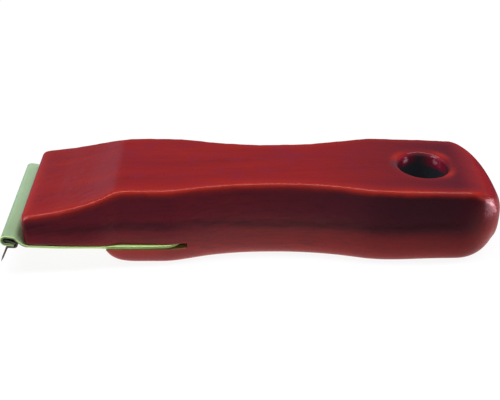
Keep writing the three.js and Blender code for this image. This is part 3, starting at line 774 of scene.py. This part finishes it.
    # lip below the saw cut
    nose = [NOSE_X + 0.02 + NOSE_R * (1 - math.cos(k * math.pi / 2 / 30)) for k in range(31)]
    xs_lip = nose + list(np.arange(NOSE_X + NOSE_R + 1.0, KERF_END_X - 2.1, 1.4)) + end_xs
    round_tip = 0.7
    last = None
    for v in xs_lip:
        sv, sd = section(v, LIP_HALF_W), Side(v, LIP_HALF_W)
        zt, zb = lip_top_at(v), 0.0
        u = v - NOSE_X
        if u < round_tip:
            zt -= round_tip - math.sqrt(max(round_tip ** 2 - (round_tip - u) ** 2, 0))
        if u < NOSE_R:
            tip = lip_top_at(NOSE_X) - round_tip - 0.05
            p = max(1 - (1 - u / NOSE_R) ** NOSE_POWER, 0) ** (1 / NOSE_POWER)
            zb = tip * (1 - p)
        full = lip_top_at(v)

        def squeeze(z, zt=zt, zb=zb, full=full):
            return zb + (zt - zb) * z / full
        fillet = min(LIP_FILLET, 0.3 * (zt - zb))
        z0 = full * (zt - fillet - zb) / (zt - zb)
        f0 = sd.share(z0)
        y0 = float(sd.at(f0)[0])
        fil = corner(y0, zt, fillet, -1, v)[::-1]
        y1 = fil[0][0]
        half = [(y1 * k / N_LINE, zt, 0.0) for k in range(N_LINE)]
        half += [(p, q, 0.8) for p, q in fil]
        half += [(y0, zt - fillet, 0.6 * step((KERF_END_X - v) / 8))]
        half += [(p, squeeze(q), 0.65 * glow(zt - squeeze(q), 4.0) * step((KERF_END_X - 1.0 - v) / 16)) for p, q, e in side_points(sd, f0, 1.0, N_LOW, zt)]
        y_flat = sv[0] - sv[4]
        half += [(y_flat * (1 - k / N_FLAT), zb, 0.0) for k in range(1, N_FLAT + 1)]
        raws = [1.0] * N_LINE + [1.0, 1.0, 0.85, 0.5, 0.2] + [0.0] * (len(half) - N_LINE - 5)
        ring = mirrored(b, v, half, raws)
        if last is None:
            b.f.append(tuple(ring))
        else:
            b.ring(last, ring)
        last = ring
    low_right = [rings[0][k] for k in range(at_lip, middle + 1)]
    low_left = [rings[0][count - k] for k in range(middle - 1, at_lip - 1, -1)]
    row = wall[-1]
    half_row = len(row) // 2
    # from the middle of the sawn face to the +Y corner, round the outside, and back
    b.ring(last, row[half_row:0:-1] + low_right + low_left + row[-2:half_row:-1])
    return b


handle = make_handle().piece("lacquered_handle", WOOD)


# ---------------------------------------------------------------------------
# Bent sheet
# ---------------------------------------------------------------------------
def filleted(corners, per_step):
    """Open path with its inner corners rounded; each inner corner is (x, z, radius)."""
    path = [np.array(corners[0][:2], float)]
    for i in range(1, len(corners) - 1):
        p = np.array(corners[i][:2], float)
        a = np.array(corners[i - 1][:2], float) - p
        c = np.array(corners[i + 1][:2], float) - p
        a, c = a / np.linalg.norm(a), c / np.linalg.norm(c)
        r = corners[i][2]
        half = math.acos(float(np.clip(a @ c, -1, 1))) / 2
        reach = r / math.tan(half)
        middle = (a + c) / np.linalg.norm(a + c) * (r / math.sin(half)) + p
        start, end = a * reach + p - middle, c * reach + p - middle
        sweep = math.atan2(start[0] * end[1] - start[1] * end[0], float(start @ end))
        steps = max(2, math.ceil(abs(math.degrees(sweep)) / per_step))
        for k in range(steps + 1):
            t = sweep * k / steps
            path.append(middle + np.array([start[0] * math.cos(t) - start[1] * math.sin(t), start[0] * math.sin(t) + start[1] * math.cos(t)]))
    path.append(np.array(corners[-1][:2], float))
    return path


def refine(path, longest):
    """Adds points so that no step is longer than asked."""
    out = [path[0]]
    for p, q in zip(path, path[1:]):
        n = max(1, math.ceil(np.linalg.norm(q - p) / longest))
        out += [p + (q - p) * k / n for k in range(1, n + 1)]
    return out


def sheet_piece(name, material, path, half_thickness, half_width, edge_round, n_across, paint, n_round=3):
    """Closed mesh of a sheet that follows a path in XZ, with rounded side edges."""
    b = Build()
    rings = []
    n = len(path)
    for i, p in enumerate(path):
        d1 = p - path[max(i - 1, 0)]
        d2 = path[min(i + 1, n - 1)] - p
        u1 = d1 / np.linalg.norm(d1) if i > 0 else None
        u2 = d2 / np.linalg.norm(d2) if i < n - 1 else None
        d = u2 if i == 0 else u1 if i == n - 1 else (u1 + u2) / np.linalg.norm(u1 + u2)
        mitre = 1.0 if i in (0, n - 1) else 1 / max(0.5, float(d @ u1))
        nx, nz = -d[1] * mitre, d[0] * mitre
        t, w = half_thickness(i), half_width(i)
        r = min(edge_round, t * 0.95)
        loop = []
        for k in range(n_across + 1):           # one face
            loop.append((-(w - r) + 2 * (w - r) * k / n_across, t, 0.0))
        for k in range(1, n_round + 1):          # round the +Y edge
            q = k * math.pi / 2 / n_round
            loop.append((w - r + r * math.sin(q), t - r + r * math.cos(q), 1.0 if k > 1 else 0.7))
        for k in range(0, n_round):
            q = k * math.pi / 2 / n_round
            loop.append((w - r + r * math.cos(q), -(t - r) - r * math.sin(q), 1.0))
        for k in range(n_across + 1):           # other face
            loop.append(((w - r) - 2 * (w - r) * k / n_across, -t, 0.0))
        for k in range(1, n_round + 1):          # round the -Y edge
            q = k * math.pi / 2 / n_round
            loop.append((-(w - r) - r * math.sin(q), -(t - r) - r * math.cos(q), 1.0 if k > 1 else 0.7))
        for k in range(0, n_round):
            q = k * math.pi / 2 / n_round
            loop.append((-(w - r) - r * math.cos(q), (t - r) + r * math.sin(q), 1.0))
        ring = []
        for y, h, e in loop:
            ring.append(b.add(p[0] + nx * h, y, p[1] + nz * h, *paint(i, e, h, y)))
        rings.append(ring)
    for i in range(n - 1):
        b.ring(rings[i], rings[i + 1])
    # ends: each end is closed with one face
    size = len(rings[0])
    first = n_across + 1
    for ring in (rings[0], rings[-1]):
        b.f.append(tuple(ring))
    return b.piece(name, material)


def holder_path():
    path = [np.array(LIP_END, float), np.array([FOLD_X, FOLD_Z - FOLD_R])]
    for k in range(1, 25):
        t = -math.pi / 2 - k * math.pi / 24
        path.append(np.array([FOLD_X + FOLD_R * math.cos(t), FOLD_Z + FOLD_R * math.sin(t)]))
    bends = filleted([tuple(path[-1]), (*CHANNEL_TOP_END, CHANNEL_TOP_R), (TONGUE_FOOT_X, tongue_at(TONGUE_FOOT_X), TONGUE_FOOT_R),
                      (-88, tongue_at(-88))], 4)
    path = refine(path + bends[1:], 1.2)
    path += [np.array([v, tongue_at(v)]) for v in np.arange(-87, TONGUE_END_X - TONGUE_CORNER_R + 0.01, 1.0)]
    for k in range(1, 15):
        v = TONGUE_END_X - TONGUE_CORNER_R + TONGUE_CORNER_R * math.sin(k * math.pi / 28)
        path.append(np.array([v, tongue_at(v)]))
    return path


holder_plan_at = smooth(HOLDER_PLAN)


def holder_half_width(x):
    start = TONGUE_END_X - TONGUE_CORNER_R
    if x <= start:
        return holder_plan_at(x)
    u = min(x - start, TONGUE_CORNER_R)
    return HOLDER_PLAN[-1][1] - TONGUE_CORNER_R + math.sqrt(max(TONGUE_CORNER_R ** 2 - u * u, 0))


h_path = holder_path()


def paint_holder(i, e, h, y):
    """Painted highlight on the edges, painted shade on the inside of the fold; behind the lip's nose, painted shade on
    the sides and painted light on the top beside the wood; painted shadow in the corner in front of the wood."""
    x = h_path[i][0]
    behind = step((x + 66.0) / 5.0)
    beside = behind if h > 0 and abs(y) > holder_half_width(x) - 3.0 else 0.0
    fold = e * step((-94.5 - x) / 2.0) * (0.85 if h < 0.0 else 0.0)
    painted_corner_shadow = 0.8 * glow(abs(x + 96.0), 1.6) if h > 0 and e == 0 else 0.0
    return max(e, 0.9 * beside), e * behind * (1.0 if h < 0.4 else 0.3), max(fold, painted_corner_shadow)


holder = sheet_piece("plated_holder", PLATED, h_path, lambda i: SHEET_T / 2, lambda i: holder_half_width(h_path[i][0]),
                     0.2, 28, paint_holder)


def blade_path():
    r = SHEET_T / 2 + BLADE_GAP + BLADE_T / 2
    path = [np.array(BLADE_INNER_END, float)]
    for k in range(25):
        t = math.pi / 2 - k * math.pi / 24
        path.append(np.array([LIP_END[0] + r * math.cos(t), LIP_END[1] + r * math.sin(t)]))
    tip, knee = np.array(BLADE_TIP, float), np.array(BLADE_CORNER, float)
    along = (tip - knee) / np.linalg.norm(tip - knee)
    ground = tip - along * BLADE_GRIND
    bend = filleted([tuple(path[-1]), (*BLADE_CORNER, 0.9), tuple(ground)], 6)
    path = refine(path + bend[1:], 0.8)
    n_plain = len(path) - 1
    path += [ground + (tip - ground) * k / 6 for k in range(1, 7)]
    return path, n_plain


b_path, b_plain = blade_path()


def blade_half_thickness(i):
    if i <= b_plain:
        return BLADE_T / 2
    g = (i - b_plain) / (len(b_path) - 1 - b_plain)
    return BLADE_T / 2 * (1 - g) + 0.03 * g


blade = sheet_piece("steel_hook_blade", BLADE, b_path, blade_half_thickness, lambda i: BLADE_HALF_W, 0.1, 24,
                    lambda i, e, h, y: (1.0 - e if i > b_plain else 0.0, e, 0.0), 2)


# ---------------------------------------------------------------------------
# Screws
# ---------------------------------------------------------------------------
def lathe(build, profile, x, y, count, wobble=None):
    """Closed solid of revolution; the profile runs from the axis to the axis as (radius, z)."""
    rings = []
    start = build.add(x, y, profile[0][1])
    for r, z in profile[1:-1]:
        ring = []
        for k in range(count):
            t = 2 * math.pi * k / count
            rr = r if wobble is None else wobble(r, z, t)
            ring.append(build.add(x + rr * math.cos(t), y + rr * math.sin(t), z))
        rings.append(ring)
    end = build.add(x, y, profile[-1][1])
    for p, q in zip(rings, rings[1:]):
        build.ring(p, q)
    for tip, ring in ((start, rings[0]), (end, rings[-1])):
        for k in range(count):
            build.f.append((tip, ring[k], ring[(k + 1) % count]))
    return build


def screw_cutter(y):
    g, z = SCREW_GAP, SCREW_RECESS
    profile = [(0, -3), (SCREW_HEAD_R + g, -3), (SCREW_HEAD_R + g, z + 0.35), (SCREW_R + g, z + SCREW_HEAD_H + g),
               (SCREW_R + g, z + SCREW_LENGTH - 4), (0, z + SCREW_LENGTH + 0.6)]
    return lathe(Build(), profile, SCREW_X, y, 48).piece("cutter", WOOD)


def make_screw(name, y):
    z, pitch = SCREW_RECESS, 1.8
    top = z + SCREW_LENGTH
    profile = [(0, z), (SCREW_HEAD_R - 0.35, z), (SCREW_HEAD_R - 0.14, z + 0.04), (SCREW_HEAD_R - 0.04, z + 0.14), (SCREW_HEAD_R, z + 0.28)]
    for k in range(1, 7):
        g = k / 6
        profile.append((SCREW_HEAD_R + (SCREW_R - 0.35 - SCREW_HEAD_R) * g, z + 0.28 + (SCREW_HEAD_H - 0.28) * g))
    profile += [(SCREW_R - 0.35, z + SCREW_HEAD_H + 0.5 * k) for k in range(1, 5)]
    zs = np.arange(z + SCREW_HEAD_H + 2.2, top - 0.1, pitch / 10)
    profile += [(SCREW_R, float(v)) for v in zs] + [(0, top)]

    def thread(r, height, t):
        if height < z + SCREW_HEAD_H + 2.1:
            return r
        taper = min(1.0, (top - height) / 4.5)
        grow = min(1.0, (height - z - SCREW_HEAD_H - 2.1) / 1.5)
        phase = (height / pitch - t / (2 * math.pi)) % 1.0
        crest = max(0.0, 1 - abs(phase - 0.5) / 0.30)
        core = (SCREW_R - 0.55) * taper + 0.05
        return core + 0.5 * crest * grow * (0.25 + 0.75 * taper)
    piece = lathe(Build(), profile, SCREW_X, y, 40, thread).piece(name, SCREW)
    # cross recess, tapering inwards
    for turn in (0.35, 0.35 + math.pi / 2):
        slot = Build()
        c, s = math.cos(turn), math.sin(turn)
        rows = []
        for height, length, width in ((z - 1.0, 2.7, 0.62), (z, 2.5, 0.55), (z + 1.0, 1.7, 0.40), (z + 1.7, 0.5, 0.22)):
            rows.append([slot.add(SCREW_X + p * c - q * s, y + p * s + q * c, height)
                         for p, q in ((-length, -width), (length, -width), (length, width), (-length, width))])
        for p, q in zip(rows, rows[1:]):
            slot.ring(p, q)
        slot.f += [tuple(rows[0]), tuple(rows[-1])]
        cut(piece, slot.piece("cutter", SCREW))
    sharp_by_angle(piece, 35)
    return piece


for y in (-SCREW_Y, SCREW_Y):
    cut(handle, screw_cutter(y))
    cut(holder, screw_cutter(y))
sharp_by_angle(handle, 40)
sharp_by_angle(holder, 40)
sharp_by_angle(blade, 40)
screw_left = make_screw("fixing_screw_left_visual", -SCREW_Y)
screw_right = make_screw("fixing_screw_right_visual", SCREW_Y)

for piece, body, node, slot in (
    (handle, "handle_body", "handle", "lacquered_wood"),
    (holder, "handle_body", "blade_holder", "plated_steel"),
    (screw_left, "handle_body", "fixing_screw_left", "screw_steel"),
    (screw_right, "handle_body", "fixing_screw_right", "screw_steel"),
    (blade, "blade", "hook_blade", "blade_steel"),
):
    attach(piece, body)
    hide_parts(node)

# ---------------------------------------------------------------------------
# Floor, light and camera
# ---------------------------------------------------------------------------
scene = bpy.context.scene
scene.view_settings.view_transform = "Standard"
scene.view_settings.look = "None"


BOUNCE_NEAR, BOUNCE_FAR = (1.47, 1.25, 1.16), (0.15, 0.23, 0.37)


def floor():
    b = Build()
    n, size = 24, 2600.0
    grid = [[b.add(-size + 2 * size * i / n, -size + 2 * size * j / n, -0.05) for j in range(n + 1)] for i in range(n + 1)]
    for i in range(n):
        for j in range(n):
            b.f.append((grid[i][j], grid[i + 1][j], grid[i + 1][j + 1], grid[i][j + 1]))
    nodes = Nodes("floor")
    nodes.tree.nodes.remove(nodes.shader)
    # the camera sees a plain pale floor; the light that the floor sends up is kept to a strip round the object
    matt = nodes.new("ShaderNodeBsdfDiffuse")
    matt.inputs["Color"].default_value = (0.11, 0.11, 0.11, 1.0)
    lit = nodes.new("ShaderNodeEmission")
    lit.inputs["Strength"].default_value = 0.91
    pale = nodes.new("ShaderNodeAddShader")
    nodes.link(matt.outputs["BSDF"], pale.inputs[0])
    nodes.link(lit.outputs["Emission"], pale.inputs[1])
    bounce = nodes.new("ShaderNodeEmission")
    coords = nodes.new("ShaderNodeTexCoord")
    split = nodes.new("ShaderNodeSeparateXYZ")
    nodes.link(coords.outputs["Object"], split.inputs["Vector"])
    away = nodes.math("ABSOLUTE", split.outputs["Y"])
    near = nodes.span(away, 0.038, 0.060, 1.0, 0.0)
    colour = nodes.mix(near, BOUNCE_FAR, BOUNCE_NEAR)
    nodes.link(colour, bounce.inputs["Color"])
    fade = nodes.math("MULTIPLY", nodes.span(split.outputs["X"], -0.03, 0.10, 1.0, 0.50), nodes.span(split.outputs["X"], 0.112, 0.134, 1.0, 0.30))
    nodes.link(fade, bounce.inputs["Strength"])
    path = nodes.new("ShaderNodeLightPath")
    both = nodes.new("ShaderNodeMixShader")
    nodes.link(path.outputs["Is Camera Ray"], both.inputs["Fac"])
    nodes.link(bounce.outputs["Emission"], both.inputs[1])
    nodes.link(pale.outputs["Shader"], both.inputs[2])
    # the floor's faces look down; seen from below, the floor is left out
    side = nodes.new("ShaderNodeNewGeometry")
    clear = nodes.new("ShaderNodeBsdfTransparent")
    shown = nodes.new("ShaderNodeMixShader")
    nodes.link(side.outputs["Backfacing"], shown.inputs["Fac"])
    nodes.link(clear.outputs["BSDF"], shown.inputs[1])
    nodes.link(both.outputs["Shader"], shown.inputs[2])
    nodes.link(shown.outputs["Shader"], nodes.out.inputs["Surface"])
    nodes.material.cycles.emission_sampling = "NONE"
    piece = b.piece("floor", nodes.material)
    return piece


floor_piece = floor()


def area(name, where, aim, width, height, power, colour=(1, 1, 1), glossy=True, diffuse=True):
    data = bpy.data.lights.new(name, "AREA")
    data.shape, data.size, data.size_y = "RECTANGLE", width, height
    data.energy, data.color = power, colour
    lamp = bpy.data.objects.new(name, data)
    lamp.location = where
    lamp.rotation_euler = (Vector(aim) - Vector(where)).to_track_quat("-Z", "Y").to_euler()
    scene.collection.objects.link(lamp)
    lamp.visible_camera, lamp.visible_glossy, lamp.visible_diffuse = False, glossy, diffuse
    return lamp


area("overhead", (-0.12, -0.14, 0.95), (-0.12, -0.14, 0.0), 2.20, 0.30, 14.3)
area("left", (-0.80, 0.12, 0.40), (-0.09, 0.0, 0.03), 0.14, 0.20, 0.9)
area("right", (0.62, 0.20, 0.06), (0.10, 0.0, 0.03), 0.16, 0.16, 3.4, (1.0, 0.75, 0.80), glossy=False)
area("front", (-0.50, -0.36, 0.24), (-0.097, -0.028, 0.026), 0.30, 0.46, 4.8, (1.0, 0.72, 0.85), diffuse=False)
area("window", (-0.585, 1.00, 0.35), (-0.585, 0.0, 0.35), 0.38, 0.30, 0.07, (0.75, 0.95, 1.25))
area("window_2", (-0.63, 1.01, 0.35), (-0.63, 0.0, 0.35), 0.29, 0.30, 0.065, (0.75, 0.95, 1.25))
# three low pink lamps beyond the tail, which only its gloss picks up and the camera doesn't see
area("low", (0.146, -0.010, 0.0004), (0.146, -0.010, 1.0), 0.020, 0.042, 0.011, (1.0, 0.60, 0.72), diffuse=False)
area("low_2", (0.172, -0.008, 0.0012), (0.172, -0.008, 1.0), 0.034, 0.042, 0.079, (1.0, 0.64, 0.70), diffuse=False)
area("low_3", (0.280, 0.008, 0.0004), (0.280, 0.008, 1.0), 0.180, 0.090, 0.450, (1.0, 0.60, 0.67), diffuse=False)

world = bpy.data.worlds.new("studio")
scene.world = world
world.use_nodes = True
sky = world.node_tree
background = sky.nodes["Background"]
# a dim room, lighter above and behind
coords = sky.nodes.new("ShaderNodeTexCoord")
slope = sky.nodes.new("ShaderNodeVectorMath")
slope.operation = "DOT_PRODUCT"
slope.inputs[1].default_value = (0.0, 0.06, 0.12)
sky.links.new(coords.outputs["Generated"], slope.inputs[0])
level = sky.nodes.new("ShaderNodeMath")
level.operation = "ADD"
level.use_clamp = True
level.inputs[1].default_value = 0.085
sky.links.new(slope.outputs["Value"], level.inputs[0])
sky.links.new(level.outputs[0], background.inputs["Strength"])
background.inputs["Color"].default_value = (0.92, 0.95, 1.0, 1.0)
backdrop = sky.nodes.new("ShaderNodeBackground")
backdrop.inputs["Color"].default_value = (0.86, 0.87, 0.88, 1.0)
seen = sky.nodes.new("ShaderNodeLightPath")
shown = sky.nodes.new("ShaderNodeMixShader")
sky.links.new(seen.outputs["Is Camera Ray"], shown.inputs["Fac"])
sky.links.new(background.outputs["Background"], shown.inputs[1])
sky.links.new(backdrop.outputs["Background"], shown.inputs[2])
sky.links.new(shown.outputs["Shader"], sky.nodes["World Output"].inputs["Surface"])

ELEVATION, AZIMUTH, ROLL = math.radians(31.0), math.radians(1.05), math.radians(0.43)
FOCAL_PX, DISTANCE, TARGET = 969.77, 0.42433, Vector((-0.0027 + SHIFT_X * MM, 0.0, 0.0186))
forward = Vector((math.sin(AZIMUTH) * math.cos(ELEVATION), math.cos(AZIMUTH) * math.cos(ELEVATION), -math.sin(ELEVATION)))
right = Vector((math.cos(AZIMUTH), -math.sin(AZIMUTH), 0.0))
up = right.cross(forward)
right2 = right * math.cos(ROLL) + up * math.sin(ROLL)
up2 = up * math.cos(ROLL) - right * math.sin(ROLL)
camera_data = bpy.data.cameras.new("camera")
camera_data.sensor_width = 36.0
camera_data.lens = FOCAL_PX * 36.0 / 500.0
camera_data.shift_x, camera_data.shift_y = -0.001, 0.001
camera_data.clip_start, camera_data.clip_end = 0.01, 20.0
camera = bpy.data.objects.new("camera", camera_data)
basis = Matrix((right2, up2, -forward)).transposed().to_4x4()
basis.translation = TARGET - forward * DISTANCE
camera.matrix_world = basis
scene.collection.objects.link(camera)
scene.camera = camera
